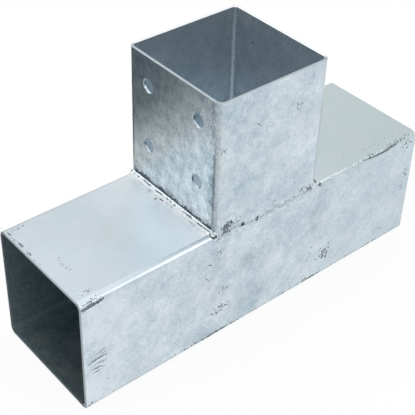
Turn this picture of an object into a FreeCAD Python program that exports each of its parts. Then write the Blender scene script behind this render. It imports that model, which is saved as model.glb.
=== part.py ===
import FreeCAD, Part
import math
import os

# T connector for square timber posts, in welded 2 mm sheet, hot-dip galvanised.
# A beam passes through the horizontal sleeve and a post stands in the socket on top of it.
# Origin: bottom centre of the sleeve. +X along the sleeve, +Z up, -Y the front wall. Millimetres.

# Timber and sheet
timber_width = 90.0            # planed square timber that both tubes take
timber_clearance = 1.0         # play across the timber, both sides together
sheet_thickness = 2.0
inner_bend_radius = 3.5
rim_break = 0.4                # the zinc coat takes the sharpness off the sheared rims

# Lengths of the two tubes
sleeve_length = 312.0
socket_height = 104.0          # from the sleeve's top to the socket's rim

# Bolt holes in the socket's left wall
hole_diameter = 10.5
hole_spacing_across = 52.0
hole_spacing_up = 48.0
hole_rim_distance = 22.0       # from the socket's rim to the upper row
hole_shift = -0.5              # the punched group sits this far off centre, towards the front
hole_edge_break = 0.3

# Corner welds that close the two folded tubes
seam_outer_radius = 3.5        # the welded corner, ground round
seam_gap = 0.5                 # how far each sheet's edge stops short of the inner corner
seam_root_leg = 2.4            # root bead inside the corner, measured along each face
seam_root_bulge = 0.2

# Fillet beads at the socket's left and right feet
bead_leg = 3.0                 # height up the wall and width along the sleeve
bead_setback = 2.0             # how far the bead's centre line lies behind both faces
bead_corner_angle = 58.0       # how far the bead turns round each corner, in degrees
ripple_pitch = 2.4
ripple_depth = 0.3
ripple_front = 0.7             # length of the steep front of each ripple
ripple_lean = 22.0             # the ripples lean back from the welder's travel, in degrees

# Groove welds at the socket's front and back feet
groove_crown = 0.3             # height of the dressed weld over the wall
groove_toe = 1.2               # how far the weld laps each wall
groove_reach = 4.8             # how far round the corners the weld fills the wedge
drop_setback = 0.05            # the bead's corner drops stay this far under the crown

# Sizes that follow from the ones above
inner_width = timber_width + timber_clearance
outer_width = inner_width + 2 * sheet_thickness
outer_bend_radius = inner_bend_radius + sheet_thickness
half_width = outer_width / 2
sleeve_top = outer_width
rim_height = sleeve_top + socket_height
bend_start = half_width - outer_bend_radius


def folded_square(width, bend_radius, seam_radius):
    """Closed wire of a square with three bends, and the seam's corner at +X +Y."""
    half = width / 2
    radii = [seam_radius, bend_radius, bend_radius, bend_radius]
    edges = []
    for quarter in range(4):
        radius = radii[quarter]
        turn = FreeCAD.Rotation(FreeCAD.Vector(0, 0, 1), 90 * quarter)
        start = turn.multVec(FreeCAD.Vector(half, radii[quarter - 1] - half, 0))
        side_end = turn.multVec(FreeCAD.Vector(half, half - radius, 0))
        edges.append(Part.LineSegment(start, side_end).toShape())
        if radius > 0:
            bend = half - radius + radius * math.sqrt(0.5)
            bend_middle = turn.multVec(FreeCAD.Vector(bend, bend, 0))
            bend_end = turn.multVec(FreeCAD.Vector(half - radius, half, 0))
            edges.append(Part.Arc(side_end, bend_middle, bend_end).toShape())
    return Part.Wire(edges)


def square_bar(width, bend_radius, seam_radius, length):
    """Solid bar with the tube's corners, from z = 0 up to its length."""
    profile = Part.Face(folded_square(width, bend_radius, seam_radius))
    return profile.extrude(FreeCAD.Vector(0, 0, length))


def outside_bar(length):
    """A tube's outside as a solid bar."""
    return square_bar(outer_width, outer_bend_radius, seam_outer_radius, length)


def inside_bar(length):
    """A tube's inside as a solid bar, sharp in the seam's corner, where the two sheet edges meet."""
    return square_bar(inner_width, inner_bend_radius, 0, length)


def laid_as_sleeve(shape):
    """Lays an upright bar or tube along X, with its seam in the bottom front corner."""
    shape.rotate(FreeCAD.Vector(0, 0, 0), FreeCAD.Vector(0, 0, 1), -90)
    shape.rotate(FreeCAD.Vector(0, 0, 0), FreeCAD.Vector(0, 1, 0), 90)
    shape.translate(FreeCAD.Vector(-sleeve_length / 2, 0, half_width))
    return shape


def folded_tube(length, rims):
    """Square tube in folded sheet, upright from z = 0, the edges of the named rims broken."""
    tube = outside_bar(length).cut(inside_bar(length))
    rim_edges = []
    for edge in tube.Edges:
        box = edge.BoundBox
        flat_on = [z for z in rims if abs(box.ZMin - z) < 0.001 and abs(box.ZMax - z) < 0.001]
        if flat_on:
            rim_edges.append(edge)
    return tube.makeChamfer(rim_break, rim_edges)


def part_at_seam(tube, length):
    """Splits a tube at its seam's corner: the sheet, and the weld that closes it."""
    corner = inner_width / 2
    joint = Part.makeBox(outer_width, outer_width, length)
    joint.translate(FreeCAD.Vector(corner - seam_gap, corner - seam_gap, 0))
    sheet = tube.cut(joint)
    fill = tube.common(joint)

    # The root bead fills the inner corner between the two sheets' inner faces
    along_back = FreeCAD.Vector(corner - seam_root_leg, corner, rim_break)
    along_side = FreeCAD.Vector(corner, corner - seam_root_leg, rim_break)
    meeting = FreeCAD.Vector(corner, corner, rim_break)
    bulge = corner - seam_root_leg / 2 - seam_root_bulge
    crown = FreeCAD.Vector(bulge, bulge, rim_break)
    section = Part.Wire([
        Part.Arc(along_back, crown, along_side).toShape(),
        Part.LineSegment(along_side, meeting).toShape(),
        Part.LineSegment(meeting, along_back).toShape(),
    ])
    root = Part.Face(section).extrude(FreeCAD.Vector(0, 0, length - 2 * rim_break))
    return sheet, fill.fuse(root).removeSplitter()


def beam_sleeve():
    """The horizontal sleeve and its seam weld."""
    tube = folded_tube(sleeve_length, [0, sleeve_length])
    return [laid_as_sleeve(shape) for shape in part_at_seam(tube, sleeve_length)]


def bolt_hole(y, z):
    """Cutter for one hole in the socket's left wall, with the edge broken on both faces."""
    radius = hole_diameter / 2
    outer_face = -half_width
    along_x = FreeCAD.Vector(1, 0, 0)
    cutter = Part.makeCylinder(radius, sheet_thickness, FreeCAD.Vector(outer_face, y, z), along_x)
    wide = radius + hole_edge_break
    mouth = Part.makeCone(wide, radius, hole_edge_break, FreeCAD.Vector(outer_face, y, z), along_x)
    inner_start = FreeCAD.Vector(outer_face + sheet_thickness - hole_edge_break, y, z)
    exit_mouth = Part.makeCone(radius, wide, hole_edge_break, inner_start, along_x)
    return cutter.fuse([mouth, exit_mouth])


def post_socket():
    """The upright socket with its bolt holes, and its seam weld in the back right corner."""
    tube = folded_tube(socket_height, [socket_height])
    tube_parts = part_at_seam(tube, socket_height)
    for shape in tube_parts:
        shape.translate(FreeCAD.Vector(0, 0, sleeve_top))
    sheet, seam = tube_parts
    upper_row = rim_height - hole_rim_distance
    for y_side in (-1, 1):
        y = hole_shift + y_side * hole_spacing_across / 2
        for z in (upper_row, upper_row - hole_spacing_up):
            sheet = sheet.cut(bolt_hole(y, z))
    return sheet, seam


def bead_point(turn, side):
    """Point of the left bead's centre line, turned by that angle round the corner at y = side.

    The line follows the edge where the socket's bend meets the sleeve's bend, which is a quarter
    ellipse in a plane at 45 degrees, and lies the setback behind both faces.
    """
    reach = outer_bend_radius - bead_setback
    across = bend_start + reach * math.cos(turn)
    y = side * (bend_start + reach * math.sin(turn))
    z = sleeve_top - outer_bend_radius + reach * math.cos(turn)
    return FreeCAD.Vector(-across, y, z)


def rippled_run(radius):
    """Straight run of the bead: each ripple swells towards its steep front, like overlapping scales.

    Its round sections lean back from the travel, so that a ripple's front shows as a crescent.
    """
    lean = math.radians(ripple_lean)
    outward = FreeCAD.Vector(-1, 0, 1).normalize()
    normal = FreeCAD.Vector(0, 1, 0) * math.cos(lean) + outward * math.sin(lean)
    start = bead_point(0, -1)
    finish = bead_point(0, 1)
    length = start.distanceToPoint(finish)
    ripples = max(3, round(length / ripple_pitch))
    pitch = length / ripples
    sections = []
    for ripple in range(ripples):
        low = start + FreeCAD.Vector(0, ripple * pitch, 0)
        crest = low + FreeCAD.Vector(0, pitch - ripple_front, 0)
        sections.append(Part.Wire(Part.Circle(low, normal, radius - ripple_depth).toShape()))
        sections.append(Part.Wire(Part.Circle(crest, normal, radius).toShape()))
    sections.append(Part.Wire(Part.Circle(finish, normal, radius - ripple_depth).toShape()))
    return Part.makeLoft(sections, True, True)


def corner_drops(side, radius):
    """Drops that carry the bead round one corner, the last ones small.

    None reaches further past the corner than the groove weld's crown.
    """
    drop_turn = ripple_pitch / 2 / (outer_bend_radius - bead_setback)
    drops = []
    turn = drop_turn / 2
    while turn < math.radians(bead_corner_angle):
        centre = bead_point(turn, side)
        room = half_width + groove_crown - drop_setback - abs(centre.y)
        drops.append(Part.makeSphere(min(radius, room), centre))
        turn += drop_turn
    return drops


def sleeve_bar():
    """The sleeve's outside as a solid bar, in its place."""
    return laid_as_sleeve(outside_bar(sleeve_length))


def socket_bar():
    """The socket's outside as a solid bar, from the sleeve's top up."""
    bar = outside_bar(socket_height)
    bar.translate(FreeCAD.Vector(0, 0, sleeve_top))
    return bar


def mirrored(shape, normal):
    """The shape's mirror image across the plane through the origin with that normal."""
    return shape.mirror(FreeCAD.Vector(0, 0, 0), normal)


def clear_of_tubes(weld):
    """The weld trimmed against both tubes, and kept out of the socket's inside carried down."""
    return weld.cut([sleeve_bar(), socket_bar(), inside_bar(sleeve_top)])


def fillet_beads():
    """The left and right fillet beads, with their ripples, turned round the socket's corners."""
    radius = math.hypot(bead_leg + bead_setback, bead_setback)
    left = rippled_run(radius).fuse(corner_drops(-1, radius) + corner_drops(1, radius))
    right = mirrored(left, FreeCAD.Vector(1, 0, 0))
    return clear_of_tubes(left), clear_of_tubes(right)


def groove_welds(beads):
    """The front and back groove welds: each fills the wedge under the foot and has a low crown."""
    face_y = -half_width
    inner_y = face_y + groove_reach
    top = sleeve_top + groove_toe
    bottom = sleeve_top - outer_bend_radius - groove_toe
    start_x = -half_width - groove_crown
    crown_middle = FreeCAD.Vector(start_x, face_y - groove_crown, (top + bottom) / 2)
    upper = FreeCAD.Vector(start_x, face_y, top)
    lower = FreeCAD.Vector(start_x, face_y, bottom)
    inner_lower = FreeCAD.Vector(start_x, inner_y, bottom)
    inner_upper = FreeCAD.Vector(start_x, inner_y, top)
    section = Part.Wire([
        Part.Arc(upper, crown_middle, lower).toShape(),
        Part.LineSegment(lower, inner_lower).toShape(),
        Part.LineSegment(inner_lower, inner_upper).toShape(),
        Part.LineSegment(inner_upper, upper).toShape(),
    ])
    front = Part.Face(section).extrude(FreeCAD.Vector(-2 * start_x, 0, 0))
    back = mirrored(front, FreeCAD.Vector(0, 1, 0))
    crown_bar = square_bar(
        outer_width + 2 * groove_crown,
        outer_bend_radius + groove_crown,
        seam_outer_radius + groove_crown,
        rim_height,
    )
    return [clear_of_tubes(strip.common(crown_bar)).cut(beads) for strip in (front, back)]


sleeve_sheet, sleeve_seam = beam_sleeve()
socket_sheet, socket_seam = post_socket()
left_bead, right_bead = fillet_beads()
front_weld, back_weld = groove_welds([left_bead, right_bead])

nodes = {
    "beam_sleeve": sleeve_sheet,
    "sleeve_seam_weld": sleeve_seam,
    "post_socket": socket_sheet,
    "socket_seam_weld": socket_seam,
    "weld_left": left_bead,
    "weld_right": right_bead,
    "weld_front": front_weld,
    "weld_back": back_weld,
}

os.makedirs("parts", exist_ok=True)
for name, shape in nodes.items():
    shape.exportStep("parts/" + name + ".step")
    print(name, shape.ShapeType, len(shape.Solids), round(shape.Volume, 1), shape.isValid())
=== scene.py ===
import math
import random
from types import SimpleNamespace

import bpy
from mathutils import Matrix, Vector


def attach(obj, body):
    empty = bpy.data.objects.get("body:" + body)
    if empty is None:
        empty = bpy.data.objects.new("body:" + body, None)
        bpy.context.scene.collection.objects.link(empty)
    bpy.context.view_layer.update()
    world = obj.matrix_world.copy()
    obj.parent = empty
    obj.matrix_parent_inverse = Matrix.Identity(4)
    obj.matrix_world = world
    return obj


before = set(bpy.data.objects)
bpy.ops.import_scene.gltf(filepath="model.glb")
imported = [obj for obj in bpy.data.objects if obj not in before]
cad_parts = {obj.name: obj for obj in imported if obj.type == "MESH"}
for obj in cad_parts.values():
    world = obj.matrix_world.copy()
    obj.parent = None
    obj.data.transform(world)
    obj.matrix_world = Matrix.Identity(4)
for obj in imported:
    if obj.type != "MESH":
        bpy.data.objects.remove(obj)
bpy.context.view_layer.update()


# Beam sleeve
# A 2 mm steel sheet folded into a square tube, 95 mm outside and 312 mm long, open at both ends.
# It is hot-dip galvanised after welding, so the zinc is thicker and cloudier on its walls than on
# its top, where it drained evenly.
outer_face = 0.0475         # metres from the tube's middle to a wall's outer face
inner_face = 0.0455         # and to its inner face
sleeve_end = 0.156
sleeve_top = 0.095
rim_depth = 0.0004          # how far the finish of a sheared rim reaches down its walls
bead_leg = 0.003            # height and width of the fillet bead
toe_half_length = 0.0438    # half the straight length of the bead's toe
skin_depth = 0.0001         # a toe mark is only on what lies within this depth of a face


def srgb(code):
    """A colour written as sRGB hex, turned to linear."""
    parts = [int(code[i:i + 2], 16) / 255 for i in (1, 3, 5)]
    linear = [c / 12.92 if c <= 0.04045 else ((c + 0.055) / 1.055) ** 2.4 for c in parts]
    return (*linear, 1.0)


def add_node(tree, kind, settings=None, links=None):
    """One node with its settings, by property or socket, and the links into its sockets."""
    node = tree.nodes.new(kind)
    for name, value in (settings or {}).items():
        if isinstance(name, int) or name in node.inputs:
            node.inputs[name].default_value = value
        else:
            setattr(node, name, value)
    for name, source in (links or {}).items():
        tree.links.new(source, node.inputs[name])
    return node


def new_material(name):
    """An empty material with its node tree and its output."""
    material = bpy.data.materials.new(name)
    material.use_nodes = True
    tree = material.node_tree
    tree.nodes.clear()
    return material, tree, add_node(tree, "ShaderNodeOutputMaterial")


def across(millimetres):
    """The scale of a pattern whose marks are about so many millimetres across."""
    return 1000.0 / millimetres


def finish_with(material, nodes):
    """Gives these nodes of the frame a finish in all their material slots."""
    for name in nodes:
        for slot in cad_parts[name].material_slots:
            slot.material = material


# Hot-dip zinc on rolled sheet: a dull blue-white metal with patches of 42 mm, clouds of 14 mm,
# grit and slanted drainage streaks on the walls, while the top stays almost even.
def start_sheet_zinc(name, middle):
    """The coat on one tube round its middle, with the patterns and places that its marks need."""
    material, tree, output = new_material(name)
    place = add_node(tree, "ShaderNodeTexCoord").outputs["Object"]
    normal = add_node(tree, "ShaderNodeNewGeometry").outputs["Normal"]
    facing = add_node(
        tree, "ShaderNodeVectorMath", {"operation": "ABSOLUTE"}, {0: normal}
    ).outputs[0]
    faces = add_node(tree, "ShaderNodeSeparateXYZ", None, {0: facing}).outputs
    moved = add_node(
        tree, "ShaderNodeVectorMath", {"operation": "SUBTRACT", 1: middle}, {0: place}
    ).outputs[0]
    off = add_node(tree, "ShaderNodeVectorMath", {"operation": "ABSOLUTE"}, {0: moved}).outputs[0]
    coat = SimpleNamespace(
        material=material, tree=tree, output=output, place=place, faces=faces,
        spot=add_node(tree, "ShaderNodeSeparateXYZ", None, {0: place}).outputs,
        away=add_node(tree, "ShaderNodeSeparateXYZ", None, {0: off}).outputs,
    )
    coat.wall = add_node(
        tree, "ShaderNodeMapRange",
        {"From Min": 0.35, "From Max": 0.9, "To Min": 1.0, "To Max": 0.2}, {"Value": faces["Z"]},
    ).outputs[0]

    # Even patterns by their size in millimetres, detail and roughness
    for pattern, size, detail, roughness in (
        ("clouds", 14, 4.0, 0.78), ("patches", 42, 2.0, 0.5), ("hammered", 6.5, 3.0, 0.62),
        ("waver", 5, 2.0, 0.6), ("grit", 1.5, 2.0, 0.7),
    ):
        noise = add_node(
            tree, "ShaderNodeTexNoise",
            {"Scale": across(size), "Detail": detail, "Roughness": roughness}, {"Vector": place},
        )
        setattr(coat, pattern, noise.outputs[0])

    # Streaks 5 mm wide and 19 mm long, which lean as the part hung in the bath
    leaning = add_node(
        tree, "ShaderNodeMapping", {"vector_type": "TEXTURE", "Rotation": (0.1, 0.4, 0.0)},
        {"Vector": place},
    ).outputs[0]
    drained = add_node(
        tree, "ShaderNodeMapping", {"Scale": (across(5), across(5), across(19))},
        {"Vector": leaning},
    ).outputs[0]
    coat.streaks = add_node(
        tree, "ShaderNodeTexNoise",
        {"Scale": 1.0, "Detail": 5.0, "Roughness": 0.75, "Distortion": 1.2}, {"Vector": drained},
    ).outputs[0]

    # Fine flecks that hang straight down, blotted by the hammered pattern
    hanging = add_node(
        tree, "ShaderNodeMapping", {"Scale": (across(1.8), across(1.8), across(3.2))},
        {"Vector": place},
    ).outputs[0]
    flecks = add_node(
        tree, "ShaderNodeTexNoise",
        {"Scale": 1.0, "Detail": 4.0, "Roughness": 0.8, "Distortion": 0.8}, {"Vector": hanging},
    ).outputs[0]
    blotted = add_node(
        tree, "ShaderNodeMix", {"data_type": "FLOAT", 0: 0.4}, {2: flecks, 3: coat.hammered}
    ).outputs[0]
    coat.flecked = add_node(
        tree, "ShaderNodeMapRange", {"From Min": 0.42, "From Max": 0.6}, {"Value": blotted}
    ).outputs[0]
    mottle_coat(coat)
    return coat


def mottle_coat(coat):
    """Clouds, streaks and grit in the colour, from the zinc's own grey to its lighter bloom."""
    tree = coat.tree
    mottle = coat.clouds
    for pattern in (coat.streaks, coat.patches):
        mottle = add_node(
            tree, "ShaderNodeMix", {"data_type": "FLOAT", 0: 0.3}, {2: mottle, 3: pattern}
        ).outputs[0]
    # The right end is calmer, and grit breaks up all of it
    calm = add_node(
        tree, "ShaderNodeMapRange", {"From Min": 0.02, "From Max": 0.12, "To Max": 0.45},
        {"Value": coat.spot["X"]},
    ).outputs[0]
    calmed = add_node(
        tree, "ShaderNodeMix", {"data_type": "FLOAT", 3: 0.5}, {0: calm, 2: mottle}
    ).outputs[0]
    gritty = add_node(
        tree, "ShaderNodeMix", {"data_type": "FLOAT", 0: 0.26}, {2: calmed, 3: coat.grit}
    ).outputs[0]
    coat.spread = add_node(
        tree, "ShaderNodeMapRange", {"From Min": 0.4, "From Max": 0.6}, {"Value": gritty}
    ).outputs[0]
    coat.even = add_node(
        tree, "ShaderNodeMix", {"data_type": "FLOAT", 2: 0.72}, {0: coat.wall, 3: coat.spread}
    ).outputs[0]

    # Painted light: the walls are drawn lighter towards the left end
    painted_left_light = add_node(
        tree, "ShaderNodeMapRange",
        {"From Min": -sleeve_end, "From Max": -0.03, "To Min": 0.42, "To Max": 0.0},
        {"Value": coat.spot["X"]},
    ).outputs[0]
    left_light_on_walls = add_node(
        tree, "ShaderNodeMath", {"operation": "MULTIPLY"}, {0: painted_left_light, 1: coat.wall}
    ).outputs[0]
    lifted_by_painted_light = add_node(
        tree, "ShaderNodeMath", {"operation": "ADD"}, {0: coat.even, 1: left_light_on_walls}
    ).outputs[0]
    coat.colour = add_node(
        tree, "ShaderNodeMix", {"data_type": "RGBA", 6: srgb("#AABDC8"), 7: srgb("#DBE5EC")},
        {0: lifted_by_painted_light},
    ).outputs[2]

    # Faint rosy and mossy patches, 30 mm across
    tint = add_node(
        tree, "ShaderNodeTexNoise", {"Scale": across(30), "Detail": 2.0}, {"Vector": coat.place}
    ).outputs["Color"]
    hues = add_node(tree, "ShaderNodeSeparateColor", None, {"Color": tint}).outputs
    for hue, code in (("Red", "#D3D2DA"), ("Green", "#C3D1CC")):
        faint = add_node(
            tree, "ShaderNodeMapRange", {"From Min": 0.52, "From Max": 0.7, "To Max": 0.2},
            {"Value": hues[hue]},
        ).outputs[0]
        coat.colour = add_node(
            tree, "ShaderNodeMix", {"data_type": "RGBA", 7: srgb(code)}, {0: faint, 6: coat.colour}
        ).outputs[2]


def green_right_arm(coat):
    """The sleeve's top right of the socket has a faint green cast."""
    right_arm = add_node(
        coat.tree, "ShaderNodeMapRange", {"From Min": 0.045, "From Max": 0.075, "To Max": 0.42},
        {"Value": coat.spot["X"]},
    ).outputs[0]
    on_top = add_node(
        coat.tree, "ShaderNodeMath", {"operation": "MULTIPLY"}, {0: right_arm, 1: coat.faces["Z"]}
    ).outputs[0]
    coat.colour = add_node(
        coat.tree, "ShaderNodeMix", {"data_type": "RGBA", 7: srgb("#BFCEC8")},
        {0: on_top, 6: coat.colour},
    ).outputs[2]


# The inside drained more slowly, so the zinc has its own grey there, its lightness set as painted
# light.
def line_inside_with_painted_light(coat, across_axes, dark, light):
    """The colour inside the tube, as painted light, where both axes across it are short of its
    inner faces.
    """
    widest = add_node(
        coat.tree, "ShaderNodeMath", {"operation": "MAXIMUM"},
        {0: coat.away[across_axes[0]], 1: coat.away[across_axes[1]]},
    ).outputs[0]
    inside = add_node(
        coat.tree, "ShaderNodeMath", {"operation": "LESS_THAN", 1: inner_face + 0.0003}, {0: widest}
    ).outputs[0]
    lit_lining = add_node(
        coat.tree, "ShaderNodeMix", {"data_type": "RGBA", 6: srgb(dark), 7: srgb(light)},
        {0: coat.spread},
    ).outputs[2]
    coat.colour = add_node(
        coat.tree, "ShaderNodeMix", {"data_type": "RGBA"}, {0: inside, 6: coat.colour, 7: lit_lining}
    ).outputs[2]


# The sheared rims took less zinc, and are drawn in painted light: painted shade on one side, a
# painted highlight on the other.
def shear_rims_with_painted_light(coat, axis, end, towards, shaded_colour, lit_colour):
    """The rims at the tube's ends, in painted light; towards is the lit side's direction and where
    it begins.
    """
    direction, begins, full = towards
    coat.sheared = add_node(
        coat.tree, "ShaderNodeMath", {"operation": "GREATER_THAN", 1: end - rim_depth},
        {0: coat.away[axis]},
    ).outputs[0]
    lean = add_node(
        coat.tree, "ShaderNodeVectorMath", {"operation": "DOT_PRODUCT", 1: direction},
        {0: coat.place},
    ).outputs["Value"]
    lit = add_node(
        coat.tree, "ShaderNodeMapRange", {"From Min": begins, "From Max": full}, {"Value": lean}
    ).outputs[0]
    painted_rim_light = add_node(
        coat.tree, "ShaderNodeMix", {"data_type": "RGBA", 6: srgb(shaded_colour), 7: srgb(lit_colour)}, {0: lit}
    ).outputs[2]
    coat.colour = add_node(
        coat.tree, "ShaderNodeMix", {"data_type": "RGBA"},
        {0: coat.sheared, 6: coat.colour, 7: painted_rim_light},
    ).outputs[2]


def toe_limits(coat, value, face):
    """1 along the straight foot of the socket, on the one face that the bead's toe lies on."""
    beside = add_node(
        coat.tree, "ShaderNodeMath", {"operation": "LESS_THAN", 1: toe_half_length},
        {0: coat.away["Y"]},
    ).outputs[0]
    on_face = add_node(
        coat.tree, "ShaderNodeMath", {"operation": "GREATER_THAN", 1: face - skin_depth}, {0: value}
    ).outputs[0]
    return add_node(
        coat.tree, "ShaderNodeMath", {"operation": "MULTIPLY"}, {0: beside, 1: on_face}
    ).outputs[0]


# At the bead's toe on the sleeve's top, broken dark dashes of bare steel show through the zinc,
# and on the left arm a torn white powdery bloom lies beside them that hides the metal, and as
# painted light also hides the shade at the toe.
def powder_beside_bead(coat):
    """The dashes and the bloom, and how much of the metal the bloom leaves to be seen."""
    tree = coat.tree
    distance = add_node(
        tree, "ShaderNodeMath", {"operation": "SUBTRACT", 1: outer_face + bead_leg + 0.0003},
        {0: coat.away["X"]},
    ).outputs[0]
    drift = add_node(
        tree, "ShaderNodeMapRange",
        {"From Min": 0.3, "From Max": 0.7, "To Min": -0.0007, "To Max": 0.0005},
        {"Value": coat.waver},
    ).outputs[0]
    near = add_node(
        tree, "ShaderNodeMath", {"operation": "ADD"}, {0: distance, 1: drift}
    ).outputs[0]
    gap = add_node(tree, "ShaderNodeMath", {"operation": "ABSOLUTE"}, {0: near}).outputs[0]
    limits = toe_limits(coat, coat.spot["Z"], sleeve_top)

    # Bloom: a torn fringe 6 mm wide, white powder that is also painted light over the toe's shade,
    # and a milky veil that fades over 45 mm
    powder_fringe_and_painted_light = add_node(
        tree, "ShaderNodeMapRange",
        {"From Min": 0.001, "From Max": 0.0065, "To Min": 0.95, "To Max": 0.0}, {"Value": gap},
    ).outputs[0]
    veil = add_node(
        tree, "ShaderNodeMapRange",
        {"From Min": 0.0, "From Max": 0.045, "To Min": 0.42, "To Max": 0.0}, {"Value": gap},
    ).outputs[0]
    torn = add_node(
        tree, "ShaderNodeMapRange", {"From Min": 0.32, "From Max": 0.47}, {"Value": coat.clouds}
    ).outputs[0]
    ragged = add_node(
        tree, "ShaderNodeMath", {"operation": "MULTIPLY"}, {0: powder_fringe_and_painted_light, 1: torn}
    ).outputs[0]
    powder = add_node(
        tree, "ShaderNodeMath", {"operation": "MAXIMUM"}, {0: ragged, 1: veil}
    ).outputs[0]
    left_arm = add_node(
        tree, "ShaderNodeMath", {"operation": "LESS_THAN", 1: 0.0}, {0: coat.spot["X"]}
    ).outputs[0]
    left_top = add_node(
        tree, "ShaderNodeMath", {"operation": "MULTIPLY"}, {0: left_arm, 1: limits}
    ).outputs[0]
    bloom_and_painted_light = add_node(
        tree, "ShaderNodeMath", {"operation": "MULTIPLY"}, {0: powder, 1: left_top}
    ).outputs[0]

    # Dashes: a line 1 mm wide, seen only where the clouds are thickest
    line = add_node(
        tree, "ShaderNodeMapRange",
        {"From Min": 0.0006, "From Max": 0.001, "To Min": 1.0, "To Max": 0.0}, {"Value": gap},
    ).outputs[0]
    broken = add_node(
        tree, "ShaderNodeMapRange", {"From Min": 0.6, "From Max": 0.64}, {"Value": coat.clouds}
    ).outputs[0]
    dashes = add_node(
        tree, "ShaderNodeMath", {"operation": "MULTIPLY"}, {0: line, 1: broken}
    ).outputs[0]
    toe = add_node(
        tree, "ShaderNodeMath", {"operation": "MULTIPLY"}, {0: dashes, 1: limits}
    ).outputs[0]
    for mark, code in ((bloom_and_painted_light, "#F3F8FC"), (toe, "#46535A")):
        coat.colour = add_node(
            tree, "ShaderNodeMix", {"data_type": "RGBA", 7: srgb(code)}, {0: mark, 6: coat.colour}
        ).outputs[2]
    return add_node(
        tree, "ShaderNodeMapRange", {"To Min": 1.0, "To Max": 0.2}, {"Value": bloom_and_painted_light}
    ).outputs[0]


def smudge_front(coat):
    """Soft grey smudges on the front wall, where thinner zinc ran down, and painted shade along the
    foot.
    """
    tree = coat.tree
    for x, z, reach in (
        (0.051, 0.068, 0.011), (0.0515, 0.054, 0.009),
        (-0.010, 0.058, 0.015), (-0.003, 0.021, 0.018),
    ):
        distance = add_node(
            tree, "ShaderNodeVectorMath", {"operation": "DISTANCE", 1: (x, -outer_face, z)},
            {0: coat.place},
        ).outputs["Value"]
        soft = add_node(
            tree, "ShaderNodeMapRange",
            {"From Min": 0.1 * reach, "From Max": reach, "To Min": 0.75, "To Max": 0.0},
            {"Value": distance},
        ).outputs[0]
        smudge = add_node(
            tree, "ShaderNodeMath", {"operation": "MULTIPLY"}, {0: soft, 1: coat.flecked}
        ).outputs[0]
        coat.colour = add_node(
            tree, "ShaderNodeMix", {"data_type": "RGBA", 7: srgb("#8FA3AC")},
            {0: smudge, 6: coat.colour},
        ).outputs[2]

    # Painted shade: a patchy darker line along the foot, for the shaded floor that the wall
    # reflects there
    low = add_node(
        tree, "ShaderNodeMapRange",
        {"From Min": 0.0012, "From Max": 0.0042, "To Min": 0.75, "To Max": 0.0},
        {"Value": coat.spot["Z"]},
    ).outputs[0]
    patchy_foot_shade = add_node(
        tree, "ShaderNodeMath", {"operation": "MULTIPLY"}, {0: low, 1: coat.waver}
    ).outputs[0]
    coat.colour = add_node(
        tree, "ShaderNodeMix", {"data_type": "RGBA", 7: srgb("#75838A")},
        {0: patchy_foot_shade, 6: coat.colour},
    ).outputs[2]


def finish_sheet(coat, nodes, metal=None):
    """Gives the coat its gloss and its relief, and puts it on these nodes."""
    tree = coat.tree
    gloss = add_node(
        tree, "ShaderNodeMapRange", {"To Min": 0.38, "To Max": 0.28}, {"Value": coat.even}
    ).outputs[0]
    roughness = add_node(
        tree, "ShaderNodeMix", {"data_type": "FLOAT", 3: 0.5}, {0: coat.sheared, 2: gloss}
    ).outputs[0]
    links = {"Base Color": coat.colour, "Roughness": roughness}
    if metal:
        links["Metallic"] = metal

    # Relief in metres, on the walls more than on the top: streaks, then clouds, then fine grain
    relief = {}
    for pattern, depth in ((coat.streaks, 0.00006), (coat.hammered, 0.00009), (coat.grit, 0.0001)):
        height = add_node(
            tree, "ShaderNodeMath", {"operation": "MULTIPLY"}, {0: pattern, 1: coat.wall}
        ).outputs[0]
        bump = add_node(
            tree, "ShaderNodeBump", {"Strength": 1.0, "Distance": depth},
            {"Height": height, **relief},
        )
        relief = {"Normal": bump.outputs[0]}
    shader = add_node(tree, "ShaderNodeBsdfPrincipled", {"Metallic": 1.0}, {**links, **relief})
    tree.links.new(shader.outputs[0], coat.output.inputs["Surface"])
    finish_with(coat.material, nodes)


sleeve_zinc = start_sheet_zinc("hot_dip_zinc_on_sleeve", (0.0, 0.0, sleeve_top / 2))
green_right_arm(sleeve_zinc)
line_inside_with_painted_light(sleeve_zinc, "YZ", "#A1B8C1", "#F1F9FA")
shear_rims_with_painted_light(sleeve_zinc, "X", sleeve_end, ((0.0, -1.0, 1.0), 0.044, 0.056), "#4F5B61", "#A3AEB4")
metal_under_bloom = powder_beside_bead(sleeve_zinc)
smudge_front(sleeve_zinc)
finish_sheet(sleeve_zinc, ["beam_sleeve"], metal_under_bloom)


# Post socket
# The same sheet folded into an upright square tube, with four punched holes in its left wall and
# welded on the middle of the sleeve's top.
socket_top = 0.199
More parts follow.
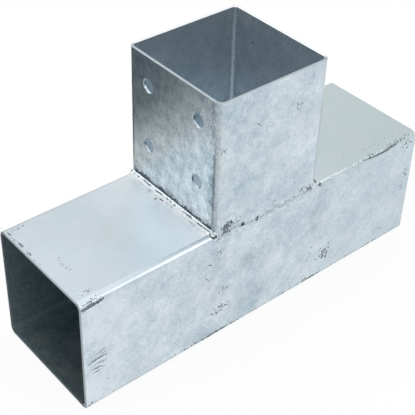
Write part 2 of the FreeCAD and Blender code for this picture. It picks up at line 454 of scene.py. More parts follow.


# Its side walls drained straight down, in fine grey and white flecks, and painted shade darkens the
# bends and a flecked band beside the front bend, for the dark that they reflect.
def fleck_and_shade_side_walls(coat):
    """Flecks on the left and right walls, and painted shade on the bends and beside the front bend.
    """
    tree, faces = coat.tree, coat.faces
    tears = add_node(
        tree, "ShaderNodeMix", {"data_type": "RGBA", 6: srgb("#E4E8E7"), 7: srgb("#82949B")},
        {0: coat.flecked},
    ).outputs[2]
    side_wall = add_node(
        tree, "ShaderNodeMath", {"operation": "MULTIPLY", 1: 0.55}, {0: faces["X"]}
    ).outputs[0]
    coat.colour = add_node(
        tree, "ShaderNodeMix", {"data_type": "RGBA"}, {0: side_wall, 6: coat.colour, 7: tears}
    ).outputs[2]

    # Painted shade: a flecked darker band beside the front bend, and darker streaks on the bends
    shade_by_bend = add_node(
        tree, "ShaderNodeMapRange", {"From Min": -0.037, "From Max": -0.0425, "To Max": 0.8},
        {"Value": coat.spot["Y"]},
    ).outputs[0]
    flecked_shade_by_bend = add_node(
        tree, "ShaderNodeMath", {"operation": "MULTIPLY"}, {0: shade_by_bend, 1: coat.flecked}
    ).outputs[0]
    flat = add_node(
        tree, "ShaderNodeMapRange", {"From Min": 0.9, "From Max": 0.99}, {"Value": faces["X"]}
    ).outputs[0]
    shade_band = add_node(
        tree, "ShaderNodeMath", {"operation": "MULTIPLY"}, {0: flecked_shade_by_bend, 1: flat}
    ).outputs[0]
    turning = add_node(
        tree, "ShaderNodeMath", {"operation": "MULTIPLY"}, {0: faces["X"], 1: faces["Y"]}
    ).outputs[0]
    bend = add_node(
        tree, "ShaderNodeMath", {"operation": "MULTIPLY"}, {0: turning, 1: faces["X"]}
    ).outputs[0]
    bend_shade_reach = add_node(
        tree, "ShaderNodeMapRange", {"From Min": 0.22, "From Max": 0.36, "To Max": 0.5},
        {"Value": bend},
    ).outputs[0]
    streaked_bend_shade = add_node(
        tree, "ShaderNodeMath", {"operation": "MULTIPLY"}, {0: bend_shade_reach, 1: coat.streaks}
    ).outputs[0]
    painted_bend_shade = add_node(
        tree, "ShaderNodeMath", {"operation": "MAXIMUM"}, {0: streaked_bend_shade, 1: shade_band}
    ).outputs[0]
    coat.colour = add_node(
        tree, "ShaderNodeMix", {"data_type": "RGBA", 7: srgb("#66747B")},
        {0: painted_bend_shade, 6: coat.colour},
    ).outputs[2]


# Over the bead's toe on the wall runs a wavering dark line, partly bare steel and flux and partly
# painted shade of the undercut, with grey wisps above it that fade over 6 mm.
def smoke_and_shade_over_bead(coat):
    """The dark line, partly painted shade, and its wisps."""
    tree = coat.tree
    distance = add_node(
        tree, "ShaderNodeMath", {"operation": "SUBTRACT", 1: sleeve_top + bead_leg + 0.001},
        {0: coat.spot["Z"]},
    ).outputs[0]
    drift = add_node(
        tree, "ShaderNodeMapRange",
        {"From Min": 0.68, "From Max": 0.45, "To Min": -0.0026, "To Max": 0.0004},
        {"Value": coat.waver},
    ).outputs[0]
    near = add_node(
        tree, "ShaderNodeMath", {"operation": "ADD"}, {0: distance, 1: drift}
    ).outputs[0]
    gap = add_node(tree, "ShaderNodeMath", {"operation": "MAXIMUM", 1: 0.0}, {0: near}).outputs[0]
    line = add_node(
        tree, "ShaderNodeMapRange",
        {"From Min": 0.0004, "From Max": 0.0015, "To Min": 1.0, "To Max": 0.0}, {"Value": gap},
    ).outputs[0]
    broken = add_node(
        tree, "ShaderNodeMapRange", {"From Min": 0.34, "From Max": 0.42}, {"Value": coat.hammered}
    ).outputs[0]
    dark = add_node(
        tree, "ShaderNodeMath", {"operation": "MULTIPLY"}, {0: line, 1: broken}
    ).outputs[0]
    smoke = add_node(
        tree, "ShaderNodeMapRange",
        {"From Min": 0.0, "From Max": 0.006, "To Min": 0.8, "To Max": 0.0}, {"Value": gap},
    ).outputs[0]
    wisps = add_node(
        tree, "ShaderNodeMath", {"operation": "MULTIPLY"}, {0: smoke, 1: coat.flecked}
    ).outputs[0]
    soot_and_painted_shade = add_node(
        tree, "ShaderNodeMath", {"operation": "MAXIMUM"}, {0: dark, 1: wisps}
    ).outputs[0]
    toe = add_node(
        tree, "ShaderNodeMath", {"operation": "MULTIPLY"},
        {0: soot_and_painted_shade, 1: toe_limits(coat, coat.away["X"], outer_face)},
    ).outputs[0]
    coat.colour = add_node(
        tree, "ShaderNodeMix", {"data_type": "RGBA", 7: srgb("#46535A")}, {0: toe, 6: coat.colour}
    ).outputs[2]


def stain_back_foot(coat):
    """A tan flux stain, 17 mm across, at the foot of the left wall's back edge."""
    distance = add_node(
        coat.tree, "ShaderNodeVectorMath",
        {"operation": "DISTANCE", 1: (-outer_face, 0.0468, 0.1115)}, {0: coat.place},
    ).outputs["Value"]
    round_it = add_node(
        coat.tree, "ShaderNodeMapRange",
        {"From Min": 0.002, "From Max": 0.0085, "To Min": 0.7, "To Max": 0.0}, {"Value": distance},
    ).outputs[0]
    uneven = add_node(
        coat.tree, "ShaderNodeMapRange", {"From Min": 0.35, "From Max": 0.55}, {"Value": coat.waver}
    ).outputs[0]
    stain = add_node(
        coat.tree, "ShaderNodeMath", {"operation": "MULTIPLY"}, {0: round_it, 1: uneven}
    ).outputs[0]
    coat.colour = add_node(
        coat.tree, "ShaderNodeMix", {"data_type": "RGBA", 7: srgb("#B5ADA0")},
        {0: stain, 6: coat.colour},
    ).outputs[2]


socket_zinc = start_sheet_zinc("hot_dip_zinc_on_socket", (0.0, 0.0, 0.0))
fleck_and_shade_side_walls(socket_zinc)
line_inside_with_painted_light(socket_zinc, "XY", "#C4D2DA", "#F6FAFE")
shear_rims_with_painted_light(socket_zinc, "Z", socket_top, ((1.0, 1.0, 0.0), -0.001, 0.004), "#B6C1C7", "#F2F6F8")
smoke_and_shade_over_bead(socket_zinc)
stain_back_foot(socket_zinc)
finish_sheet(socket_zinc, ["post_socket"])


# Welds
# Fillet beads along the socket's left and right feet, groove welds dressed flush at the front and
# back, and a corner weld that closes each tube, all coated with thick zinc in the same dip.


# Thick hot-dip zinc on a weld: brighter than on the sheet, with the fine scale of its ripples.
def start_weld_zinc(name, dark, light):
    """The coat on a weld, with the patterns that its marks need."""
    material, tree, output = new_material(name)
    place = add_node(tree, "ShaderNodeTexCoord").outputs["Object"]
    coat = SimpleNamespace(
        material=material, tree=tree, output=output, place=place,
        spot=add_node(tree, "ShaderNodeSeparateXYZ", None, {0: place}).outputs,
    )
    coat.scale = add_node(
        tree, "ShaderNodeTexNoise", {"Scale": across(3), "Detail": 3.0, "Roughness": 0.7},
        {"Vector": place},
    ).outputs[0]
    coat.waver = add_node(
        tree, "ShaderNodeTexNoise", {"Scale": across(13), "Detail": 3.0, "Roughness": 0.6},
        {"Vector": place},
    ).outputs[0]
    spread = add_node(
        tree, "ShaderNodeMapRange", {"From Min": 0.35, "From Max": 0.62}, {"Value": coat.scale}
    ).outputs[0]
    coat.colour = add_node(
        tree, "ShaderNodeMix", {"data_type": "RGBA", 6: srgb(dark), 7: srgb(light)}, {0: spread}
    ).outputs[2]
    return coat


def thread_of_ash(coat, lowest, highest):
    """A dressed weld's grey thread, which wavers between two heights in metres, and its flecks."""
    tree = coat.tree
    drift = add_node(
        tree, "ShaderNodeMapRange",
        {"From Min": 0.3, "From Max": 0.7, "To Min": lowest, "To Max": highest},
        {"Value": coat.waver},
    ).outputs[0]
    gap = add_node(
        tree, "ShaderNodeMath", {"operation": "SUBTRACT"}, {0: coat.spot["Z"], 1: drift}
    ).outputs[0]
    near = add_node(tree, "ShaderNodeMath", {"operation": "ABSOLUTE"}, {0: gap}).outputs[0]
    line = add_node(
        tree, "ShaderNodeMapRange",
        {"From Min": 0.0003, "From Max": 0.0026, "To Min": 1.0, "To Max": 0.0}, {"Value": near},
    ).outputs[0]
    faint = add_node(
        tree, "ShaderNodeMapRange",
        {"From Min": 0.35, "From Max": 0.65, "To Min": 0.15, "To Max": 0.35},
        {"Value": coat.waver},
    ).outputs[0]
    flecks = add_node(
        tree, "ShaderNodeTexNoise", {"Scale": across(1.7), "Detail": 2.0, "Roughness": 0.6},
        {"Vector": coat.place},
    ).outputs[0]
    speckled = add_node(
        tree, "ShaderNodeMapRange", {"From Min": 0.54, "From Max": 0.66}, {"Value": flecks}
    ).outputs[0]
    thread = add_node(
        tree, "ShaderNodeMath", {"operation": "MULTIPLY"}, {0: line, 1: faint}
    ).outputs[0]
    dots = add_node(
        tree, "ShaderNodeMath", {"operation": "MULTIPLY"}, {0: line, 1: speckled}
    ).outputs[0]
    ashen = add_node(
        tree, "ShaderNodeMath", {"operation": "MAXIMUM"}, {0: thread, 1: dots}
    ).outputs[0]
    coat.colour = add_node(
        tree, "ShaderNodeMix", {"data_type": "RGBA", 7: srgb("#616E75")},
        {0: ashen, 6: coat.colour},
    ).outputs[2]


def paint_crest_highlight(coat):
    """A painted highlight: the root bead's crest drawn white, up the corner where X equals Y."""
    across_bead = add_node(
        coat.tree, "ShaderNodeMath", {"operation": "SUBTRACT"},
        {0: coat.spot["X"], 1: coat.spot["Y"]},
    ).outputs[0]
    beside = add_node(
        coat.tree, "ShaderNodeMath", {"operation": "ABSOLUTE"}, {0: across_bead}
    ).outputs[0]
    crest_highlight = add_node(
        coat.tree, "ShaderNodeMapRange",
        {"From Min": 0.0003, "From Max": 0.0012, "To Min": 1.0, "To Max": 0.0}, {"Value": beside},
    ).outputs[0]
    coat.colour = add_node(
        coat.tree, "ShaderNodeMix", {"data_type": "RGBA", 7: srgb("#FFFFFF")},
        {0: crest_highlight, 6: coat.colour},
    ).outputs[2]


# On the left bead a broken dark crease runs along the middle, a white bloom hides the metal of the
# lower half, and the front end is burnt.
def crease_bead(coat):
    """The bloom, the crease and the burnt end, and how much of the metal is left to be seen."""
    tree = coat.tree
    slope = add_node(
        tree, "ShaderNodeMath", {"operation": "ADD"}, {0: coat.spot["Z"], 1: coat.spot["X"]}
    ).outputs[0]
    wander = add_node(
        tree, "ShaderNodeMapRange",
        {"From Min": 0.3, "From Max": 0.7, "To Min": 0.0471, "To Max": 0.0487},
        {"Value": coat.waver},
    ).outputs[0]
    beside = add_node(
        tree, "ShaderNodeMath", {"operation": "SUBTRACT"}, {0: slope, 1: wander}
    ).outputs[0]
    powder = add_node(
        tree, "ShaderNodeMapRange", {"From Min": 0.0002, "From Max": -0.0008, "To Max": 0.85},
        {"Value": beside},
    ).outputs[0]
    near = add_node(tree, "ShaderNodeMath", {"operation": "ABSOLUTE"}, {0: beside}).outputs[0]
    crease = add_node(
        tree, "ShaderNodeMapRange",
        {"From Min": 0.0004, "From Max": 0.0009, "To Min": 1.0, "To Max": 0.0}, {"Value": near},
    ).outputs[0]
    breaks = add_node(
        tree, "ShaderNodeTexNoise", {"Scale": across(7), "Detail": 3.0, "Roughness": 0.7},
        {"Vector": coat.place},
    ).outputs[0]
    broken = add_node(
        tree, "ShaderNodeMapRange", {"From Min": 0.49, "From Max": 0.54}, {"Value": breaks}
    ).outputs[0]
    dashes = add_node(
        tree, "ShaderNodeMath", {"operation": "MULTIPLY"}, {0: crease, 1: broken}
    ).outputs[0]
    front = add_node(
        tree, "ShaderNodeMapRange", {"From Min": -0.0415, "From Max": -0.0445},
        {"Value": coat.spot["Y"]},
    ).outputs[0]
    blots = add_node(
        tree, "ShaderNodeMapRange", {"From Min": 0.47, "From Max": 0.53}, {"Value": coat.scale}
    ).outputs[0]
    burnt = add_node(
        tree, "ShaderNodeMath", {"operation": "MULTIPLY"}, {0: front, 1: blots}
    ).outputs[0]
    for mark, code in ((powder, "#EFF5FA"), (dashes, "#505D63"), (burnt, "#55626A")):
        coat.colour = add_node(
            tree, "ShaderNodeMix", {"data_type": "RGBA", 7: srgb(code)}, {0: mark, 6: coat.colour}
        ).outputs[2]
    return add_node(
        tree, "ShaderNodeMapRange", {"To Min": 0.8, "To Max": 0.3}, {"Value": powder}
    ).outputs[0]


def finish_weld(coat, nodes, metal=None):
    """Gives the coat its fine relief and puts it on these nodes."""
    relief = add_node(
        coat.tree, "ShaderNodeBump", {"Strength": 1.0, "Distance": 0.0001}, {"Height": coat.scale}
    ).outputs[0]
    links = {"Base Color": coat.colour, "Normal": relief}
    if metal:
        links["Metallic"] = metal
    shader = add_node(
        coat.tree, "ShaderNodeBsdfPrincipled", {"Metallic": 1.0, "Roughness": 0.33}, links
    )
    coat.tree.links.new(shader.outputs[0], coat.output.inputs["Surface"])
    finish_with(coat.material, nodes)


left_bead = start_weld_zinc("thick_zinc_on_left_bead", "#C3D0D7", "#E9F2F7")
metal_under_powder = crease_bead(left_bead)
finish_weld(left_bead, ["weld_left"], metal_under_powder)

right_bead = start_weld_zinc("thick_zinc_on_right_bead", "#B0BFC7", "#DDE5E9")
finish_weld(right_bead, ["weld_right"])

dressed_weld = start_weld_zinc("zinc_on_dressed_weld", "#B0BFC7", "#DAE5EC")
thread_of_ash(dressed_weld, 0.0905, 0.0955)
finish_weld(dressed_weld, ["weld_front", "weld_back"])

sleeve_seam = start_weld_zinc("zinc_on_sleeve_seam", "#A4B2B9", "#CBD6DB")
thread_of_ash(sleeve_seam, 0.0, 0.004)
finish_weld(sleeve_seam, ["sleeve_seam_weld"])

# The socket seam's zinc is drawn lighter, as painted light on its corner, and its crest is a
# painted highlight
socket_seam = start_weld_zinc("zinc_on_socket_seam", "#B5C2C8", "#DDE6EA")
paint_crest_highlight(socket_seam)
finish_weld(socket_seam, ["socket_seam_weld"])


# Zinc lumps and weld spatter
# Drops of dross and spatter under the zinc, 0.5 to 2 mm across, thickest along the seams, the
# bends and the lower edges, where the bath drained last. Each is a low irregular dome.
rng = random.Random(7)

# The walls in millimetres, as the lumps and scratches are placed on them
bend_radius, seam_radius = 5.5, 3.5
wall_out, wall_in, top = 47.5, 45.5, 95.0
bend_start = wall_out - bend_radius
groove_half_length, groove_low, groove_high, groove_crown = 43.8, 88.3, 96.2, 0.3
holes = [(y, z) for y in (-26.5, 25.5) for z in (129.0, 177.0)]
hole_margin = 6.8
# The part's limits and the marks' clearance from the walls, in metres
part_limits = ((-0.1559, 0.1559), (-0.04779, 0.04779), (0.00002, 0.19898))
clearance = 0.00001


def skin(wall, u, v):
    """The point at u, v millimetres on a wall, round its bends too, and the way it faces there."""
    side = -1.0 if wall in ("front", "left") else 1.0
    if wall == "top":
        point, out = Vector((u, v, top)), Vector((0, 0, 1))
    elif wall == "inside right":
        point, out = Vector((wall_in, u, v)), Vector((-1, 0, 0))
    elif wall == "inside back":
        point, out = Vector((u, wall_in, v)), Vector((0, -1, 0))
    elif wall in ("left", "right"):
        turn = math.asin(max(0.0, min((abs(u) - bend_start) / bend_radius, 1.0)))
        out = Vector((side * math.cos(turn), math.copysign(math.sin(turn), u), 0))
        along = max(-bend_start, min(bend_start, u))
        point = Vector((side * bend_start, along, v)) + out * bend_radius
    elif v > groove_high and abs(u) > bend_start:
        # Round the socket's front or back bends
        turn = math.asin(min((abs(u) - bend_start) / bend_radius, 1.0))
        out = Vector((math.copysign(math.sin(turn), u), side * math.cos(turn), 0))
        point = Vector((math.copysign(bend_start, u), side * bend_start, v)) + out * bend_radius
    elif abs(u) < groove_half_length and groove_low < v < groove_high:
        # On the crown of a groove weld
        middle, half = (groove_low + groove_high) / 2, (groove_high - groove_low) / 2
        out = Vector((0, side, 0))
        point = Vector((u, side * (wall_out + groove_crown * (1 - ((v - middle) / half) ** 2)), v))
    elif v < bend_radius or (v > top - bend_radius and abs(u) > groove_half_length):
        # Round the sleeve's lower or upper bends; the welded one in front is sharper
        radius = seam_radius if wall == "front" and v < bend_radius else bend_radius
        lower = v < wall_out
        middle = radius if lower else top - radius
        rise = max(-1.0, min((v - middle) / radius, 0.0 if lower else 1.0))
        out = Vector((0, side * math.sqrt(1 - rise * rise), rise))
        height = max(v, middle) if lower else middle
        point = Vector((u, side * (wall_out - radius), height)) + out * radius
    else:
        point, out = Vector((u, side * wall_out, v)), Vector((0, side, 0))
    return point / 1000, out


def in_box(point):
    """Keeps a point within the connector's own outer limits."""
    return Vector([max(low, min(high, value)) for value, (low, high) in zip(point, part_limits)])


def zinc_lump(verts, faces, wall, u, v, size):
    """One lump at u, v millimetres on a wall, with an uneven outline and an off-centre peak."""
    middle, out = skin(wall, u, v)
    along = Vector((0, 0, 1)).cross(out)
    along = along.normalized() if along.length > 0.1 else Vector((1, 0, 0))
    up = out.cross(along)
    sides = 10
    first = len(verts)
    stretch = rng.uniform(0.7, 1.4)
    lobe = rng.uniform(0, 6)
    # The rings' reach, and their height as a share of the size, which is 0.16 at the peak
    for share, lift in ((1.0, 0.0), (0.72, 0.09), (0.35, 0.14)):
        for side in range(sides):
            turn = 2 * math.pi * side / sides
            uneven = 1 + 0.25 * math.sin(3 * turn + lobe) + 0.15 * rng.uniform(-1, 1)
            reach = size / 2000 * share * uneven
            verts.append(in_box(
                middle + along * (reach * math.cos(turn) * stretch)
                + up * (reach * math.sin(turn) / stretch) + out * (lift * size / 1000 + clearance)
            ))
    peak = len(verts)
    verts.append(in_box(middle + out * (0.16 * size / 1000)))
    for ring in (first, first + sides):
        for side in range(sides):
            a, b = ring + side, ring + (side + 1) % sides
            faces.append((a, b, b + sides, a + sides))
    inner_ring = first + 2 * sides
    for side in range(sides):
        faces.append((inner_ring + side, inner_ring + (side + 1) % sides, peak))


def zinc_marks(name, material, verts, faces):
    """The lumps or marks of one kind, made one mesh that rides on the connector."""
    mesh = bpy.data.meshes.new(name)
    mesh.from_pydata(verts, [], faces)
    mesh.polygons.foreach_set("use_smooth", [True] * len(mesh.polygons))
    mesh.materials.append(material)
    marks = bpy.data.objects.new(name, mesh)
    bpy.context.scene.collection.objects.link(marks)
    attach(marks, "root")


# Ash and flux caught in the zinc: a dark, dull skin on the metal in an uneven tone, that gives the
# eye small dark flecks.
ash, tree, output = new_material("zinc_ash")
place = add_node(tree, "ShaderNodeTexCoord").outputs["Object"]
fleck = add_node(
    tree, "ShaderNodeTexNoise", {"Scale": across(0.9), "Detail": 2.0}, {"Vector": place}
).outputs[0]
uneven = add_node(
    tree, "ShaderNodeMapRange", {"From Min": 0.35, "From Max": 0.65}, {"Value": fleck}
).outputs[0]
tone = add_node(
    tree, "ShaderNodeMix", {"data_type": "RGBA", 6: srgb("#465157"), 7: srgb("#919EA4")},
    {0: uneven},
).outputs[2]
shader = add_node(
    tree, "ShaderNodeBsdfPrincipled", {"Metallic": 1.0, "Roughness": 0.5}, {"Base Color": tone}
)
tree.links.new(shader.outputs[0], output.inputs["Surface"])

verts, faces = [], []
u_on_sleeve, v_on_sleeve, u_on_socket, v_on_socket = 154.8, 96.0, 46.9, 197.0
gathering = 0.6     # how close a cluster's lumps lie, as a share of its spread
# Clusters as wall, middle u and v, spread along and up, how many, largest size, in millimetres
for wall, u, v, du, dv, count, largest in (
    ("front", -37.0, 98.6, 4.2, 3.4, 52, 2.1),
    ("front", -38.0, 94.6, 5.0, 1.2, 14, 1.6),
    ("front", -28.0, 98.6, 5.0, 3.0, 14, 1.2),
    ("front", -23.2, 93.4, 1.3, 0.9, 14, 2.2),
    ("front", -10.3, 92.4, 0.9, 0.8, 9, 2.6),
    ("front", 3.0, 94.4, 8.0, 1.2, 7, 0.9),
    ("front", 20.0, 93.6, 8.0, 1.0, 9, 0.9),
    ("front", 40.0, 94.4, 5.0, 2.6, 36, 1.5),
    ("front", 32.5, 97.6, 3.0, 2.4, 16, 1.1),
    ("front", 51.8, 92.2, 1.6, 0.9, 10, 1.8),
    ("front", 61.0, 92.8, 4.0, 0.7, 5, 0.9),
    ("front", 22.0, 171.0, 3.0, 3.6, 20, 1.0),
    ("front", -3.0, 166.0, 8.0, 1.2, 7, 0.9),
    ("front", -43.0, 163.5, 2.2, 2.6, 12, 1.0),
    ("front", 65.0, 21.5, 5.5, 6.0, 46, 1.6),
    ("front", 45.8, 26.0, 3.0, 8.0, 14, 1.2),
    ("front", 50.0, 62.0, 8.0, 16.0, 9, 0.9),
    ("front", -40.0, 25.5, 8.0, 3.0, 34, 1.5),
    ("front", -37.5, 42.3, 4.5, 2.0, 16, 1.2),
    ("front", -43.5, 79.0, 4.0, 3.0, 18, 1.0),
    ("front", 125.0, 13.0, 5.0, 5.0, 12, 1.1),
    ("front", 137.0, 93.6, 10.0, 0.9, 30, 1.3),
    ("front", 104.0, 93.4, 22.0, 0.8, 34, 1.1),
    ("front", 146.0, 88.0, 4.5, 4.0, 22, 1.3),
    ("front", 150.0, 60.0, 2.0, 5.5, 16, 1.2),
    ("front", 147.5, 45.5, 1.8, 2.4, 8, 1.1),
    ("front", -137.4, 18.4, 0.4, 0.4, 1, 2.0),
    ("front", -141.0, 34.0, 4.0, 5.0, 14, 0.9),
    ("front", -148.0, 92.6, 3.5, 0.9, 14, 1.0),
    ("front", -45.0, 3.2, 12.0, 0.9, 34, 1.9),
    ("front", 52.0, 3.2, 7.5, 0.9, 26, 2.0),
    ("front", 118.0, 3.2, 9.0, 0.9, 14, 1.6),
    ("front", 0.0, 2.8, 100.0, 0.8, 60, 1.3),
    ("front", -152.0, 3.4, 2.0, 1.4, 8, 1.2),
    ("top", -141.3, -1.3, 0.4, 0.4, 1, 1.3),
    ("top", -141.2, -14.8, 0.4, 0.4, 1, 1.3),
    ("top", -154.2, 22.0, 0.5, 18.0, 28, 1.0),
    ("top", -146.0, 41.0, 6.0, 1.0, 12, 1.0),
    ("top", -141.5, -8.0, 2.0, 9.0, 16, 0.8),
    ("top", -144.5, -38.8, 4.5, 2.2, 24, 0.8),
    ("front", -144.0, 93.6, 6.0, 0.9, 18, 0.9),
    ("top", -53.8, 9.7, 0.9, 0.4, 4, 1.5),
    ("top", -51.0, 29.5, 0.35, 3.6, 5, 1.1),
    ("top", -51.0, 5.5, 0.35, 3.0, 4, 1.1),
    ("top", -51.0, -4.5, 0.35, 2.6, 4, 1.1),
    ("top", -51.0, -26.0, 0.35, 8.0, 6, 0.9),
    ("top", 118.0, -38.5, 22.0, 2.0, 16, 0.9),
    ("left", 45.0, 150.0, 0.8, 30.0, 14, 0.9),
    ("left", 40.0, 104.0, 3.0, 3.0, 8, 0.9),
    ("left", 0.0, 140.0, 30.0, 30.0, 18, 0.8),
    ("inside right", 26.0, 178.0, 1.0, 2.0, 6, 1.0),
    ("inside back", -20.0, 182.0, 14.0, 5.0, 6, 0.8),
    ("right", 0.0, 140.0, 26.0, 30.0, 22, 1.1),
    ("back", 0.0, 94.0, 30.0, 1.6, 60, 1.4),
    ("back", 0.0, 50.0, 110.0, 36.0, 60, 1.1),
    ("back", -60.0, 2.6, 60.0, 0.9, 40, 1.3),
    ("back", 0.0, 150.0, 26.0, 30.0, 22, 1.0),
):
    for lump in range(count):
        at_u = u + rng.gauss(0, gathering) * du
        at_v = v + rng.gauss(0, gathering) * dv
        in_hole = wall == "left" and any(
            math.hypot(at_u - y, at_v - z) < hole_margin for y, z in holes
        )
        on_socket = abs(at_u) < u_on_socket and at_v < v_on_socket
        on_sleeve = abs(at_u) < u_on_sleeve and at_v < v_on_sleeve
        if (on_sleeve or on_socket) and not in_hole:
            zinc_lump(verts, faces, wall, at_u, at_v, rng.uniform(0.4, 1.0) * largest)
zinc_marks("zinc_lumps", ash, verts, faces)


# Handling scratches
# Scratches through the zinc's bloom from stacking and dragging: thin shallow grooves, most of
# them near the sleeve's left end, with a rubbed band on its bend there and a thread of zinc that
# ran along the bend at the right end.
def scratch(verts, faces, wall, ends, bow, width):
    """A low tapering ribbon between two places on a wall, in millimetres, bowed to one side."""
    (u0, v0), (u1, v1) = ends
    step_length, unsteady, crown = 0.9, 0.09, 0.00004
    steps = max(10, int(math.hypot(u1 - u0, v1 - v0) / step_length))
    path = []
    for step in range(steps + 1):
        t = step / steps
        wave = bow * math.sin(math.pi * t) + rng.gauss(0, unsteady)
        path.append(skin(wall, u0 + (u1 - u0) * t, v0 + (v1 - v0) * t + wave))
    first = len(verts)
    for step, (point, out) in enumerate(path):
        ahead = path[min(step + 1, steps)][0] - path[max(step - 1, 0)][0]
        side = ahead.cross(out).normalized()
        taper = 0.25 + 0.75 * math.sin(math.pi * (0.06 + 0.88 * step / steps))
        half = width / 2000 * taper * rng.uniform(0.6, 1.2)
        for share, lift in ((-1.0, clearance), (0.0, crown), (1.0, clearance)):
            verts.append(in_box(point + side * (share * half) + out * lift))
    for a in range(first, first + 3 * steps, 3):
        faces += [(a, a + 1, a + 4, a + 3), (a + 1, a + 2, a + 5, a + 4)]


verts, faces = [], []
# Each as wall, its two ends, how far it bows and its width, in millimetres
for wall, ends, bow, width in (
    ("front", ((-153.1, 41.2), (-137.3, 42.4)), 0.9, 1.3),
    ("front", ((-145.8, 46.6), (-138.7, 48.9)), 0.4, 0.9),
    ("front", ((-150.3, 34.4), (-141.5, 33.6)), 0.6, 1.1),
    ("front", ((-147.5, 37.6), (-139.0, 37.9)), 0.7, 0.9),
    ("front", ((-149.0, 31.0), (-142.0, 31.4)), 0.4, 0.8),
    ("front", ((-143.0, 44.6), (-137.5, 45.4)), 0.2, 0.6),
    ("front", ((-17.3, 174.2), (-10.9, 168.8)), 0.3, 0.6),
    ("front", ((-52.5, 72.4), (-49.2, 70.2)), 0.2, 0.9),
    ("front", ((-55.0, 62.0), (-51.5, 57.0)), 0.2, 0.7),
    ("front", ((48.4, 100.4), (45.2, 97.6)), 0.4, 0.6),
    ("front", ((97.8, 92.9), (133.8, 92.5)), -0.9, 1.5),
    ("front", ((120.0, 93.4), (136.0, 93.0)), -0.3, 0.8),
    ("front", ((-155.4, 91.0), (-137.5, 91.9)), -0.4, 2.4),
    ("front", ((-154.0, 93.2), (-143.0, 93.6)), 0.0, 0.8),
    ("front", ((-155.4, 89.4), (-149.5, 90.2)), 0.0, 0.8),
    ("front", ((-61.0, 3.3), (-31.0, 3.5)), 0.0, 0.9),
    ("front", ((46.0, 3.0), (59.0, 2.8)), 0.0, 1.3),
    ("top", ((60.0, -30.5), (55.5, -28.5)), 0.2, 0.9),
    ("top", ((-153.8, 41.0), (-153.4, 36.5)), 0.2, 1.3),
    ("top", ((-153.6, 28.0), (-153.0, 22.0)), 0.2, 1.5),
    ("top", ((-153.4, 15.0), (-153.8, 11.5)), 0.2, 1.2),
    ("back", ((-60.0, 60.0), (-38.0, 66.0)), 0.8, 0.6),
    ("back", ((70.0, 30.0), (96.0, 27.0)), 0.6, 0.6),
    ("right", ((-20.0, 170.0), (4.0, 160.0)), 0.8, 0.6),
):
    scratch(verts, faces, wall, ends, bow, width)
zinc_marks("handling_scratches", ash, verts, faces)


# Studio
# A white table, clear from below, in a white room, with a small softbox high at the front right
# and large ones at the back left and overhead. Dark cloth lies behind the part and stands at its
# left and right, where the socket's side walls and bends reflect it.
for name, at, towards, size, watts in (
    ("front_softbox", (0.74, -1.08, 1.05), (0.0, 0.0, 0.08), 0.4, 1.7),
    ("back_softbox", (-1.0, 1.15, 1.25), (0.0, 0.0, 0.1), 1.8, 6.2),
    ("top_softbox", (-0.3, 0.1, 1.6), (0.0, 0.0, 0.1), 2.6, 7.4),
):
    lamp = bpy.data.lights.new(name, "AREA")
    lamp.shape = "RECTANGLE"
    lamp.size = lamp.size_y = size
    lamp.energy = watts
    lamp.color = srgb("#FFFDFA")[:3]
    softbox = bpy.data.objects.new(name, lamp)
    softbox.location = at
    softbox.rotation_mode = "QUATERNION"
    softbox.rotation_quaternion = (Vector(towards) - Vector(at)).to_track_quat("-Z", "Y")
    bpy.context.scene.collection.objects.link(softbox)


def flat_card(name, corners, material):
    """A flat sheet of the studio, which isn't part of the connector."""
    mesh = bpy.data.meshes.new(name)
    mesh.from_pydata([Vector(c) for c in corners], [], [tuple(range(len(corners)))])
    mesh.materials.append(material)
    card = bpy.data.objects.new(name, mesh)
    bpy.context.scene.collection.objects.link(card)
    return card


def seen_by(tree, *kinds):
    """1 for rays of these kinds, which see the plain white background."""
    path = add_node(tree, "ShaderNodeLightPath").outputs
    seen = path[kinds[0]]
    for kind in kinds[1:]:
        seen = add_node(
            tree, "ShaderNodeMath", {"operation": "MAXIMUM"}, {0: seen, 1: path[kind]}
        ).outputs[0]
    return seen


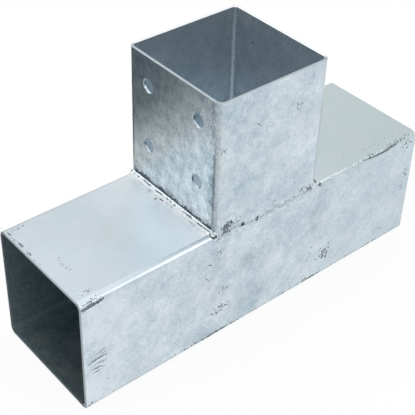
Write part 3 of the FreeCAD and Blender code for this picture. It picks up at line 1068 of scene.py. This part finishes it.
white_table, tree, output = new_material("white_table")
seen = seen_by(tree, "Is Camera Ray", "Is Transmission Ray", "Is Glossy Ray")
share = add_node(tree, "ShaderNodeMath", {"operation": "MULTIPLY", 1: 0.9}, {0: seen}).outputs[0]
paint = add_node(tree, "ShaderNodeBsdfDiffuse", {"Color": srgb("#F4F5F6")}).outputs[0]
glow = add_node(tree, "ShaderNodeEmission", {"Color": srgb("#FFFFFF"), "Strength": 1.0}).outputs[0]
both = add_node(tree, "ShaderNodeMixShader", None, {0: share, 1: paint, 2: glow}).outputs[0]
underneath = add_node(tree, "ShaderNodeNewGeometry").outputs["Backfacing"]
clear = add_node(tree, "ShaderNodeBsdfTransparent").outputs[0]
whole = add_node(tree, "ShaderNodeMixShader", None, {0: underneath, 1: both, 2: clear}).outputs[0]
tree.links.new(whole, output.inputs["Surface"])
table_z = -0.0001     # just under the sleeve, so that the two faces don't mix
flat_card("table", [(x, y, table_z) for x, y in ((-9, -9), (9, -9), (9, 9), (-9, 9))], white_table)

dark_cloth, tree, output = new_material("dark_cloth")
cloth = add_node(tree, "ShaderNodeBsdfDiffuse", {"Color": srgb("#48555B")}).outputs[0]
tree.links.new(cloth, output.inputs["Surface"])
for name, corners in (
    ("dark_flag_behind",
     [(-1.2, 0.186, 0.002), (0.1, 0.186, 0.002), (0.1, 1.4, 0.002), (-1.2, 1.4, 0.002)]),
    ("dark_flag_left",
     [(-1.0, -0.25, 0.0), (-1.0, 0.4, 0.0), (-0.9, 0.4, 1.25), (-0.9, -0.25, 1.25)]),
    ("dark_flag_right",
     [(1.0, 0.5, 0.0), (1.0, -0.5, 0.0), (1.0, -0.5, 0.6), (1.0, 0.5, 0.6)]),
):
    flag = flat_card(name, corners, dark_cloth)
    flag.visible_camera = flag.visible_shadow = flag.visible_diffuse = False

world = bpy.data.worlds.new("white_room")
world.use_nodes = True
tree = world.node_tree
tree.nodes.clear()
room_end = add_node(tree, "ShaderNodeOutputWorld")
strength = add_node(
    tree, "ShaderNodeMapRange", {"To Min": 0.9, "To Max": 1.0},
    {"Value": seen_by(tree, "Is Camera Ray", "Is Transmission Ray")},
).outputs[0]
room = add_node(tree, "ShaderNodeBackground", {"Color": srgb("#FFFFFF")}, {"Strength": strength})
tree.links.new(room.outputs[0], room_end.inputs["Surface"])
bpy.context.scene.world = world

# The camera looks down at the front wall and the open left end
camera = bpy.data.cameras.new("camera")
camera.sensor_width = 36.0
camera.lens = 89.67
camera.shift_x = -0.0015
camera.shift_y = -0.0651
camera.clip_start, camera.clip_end = 0.01, 50.0
viewer = bpy.data.objects.new("camera", camera)
viewer.location = (-0.39955, -0.44188, 0.53947)
viewer.rotation_euler = [math.radians(turn) for turn in (53.0318, -1.6137, -39.8776)]
bpy.context.scene.collection.objects.link(viewer)
bpy.context.scene.camera = viewer
bpy.context.scene.view_settings.view_transform = "Standard"
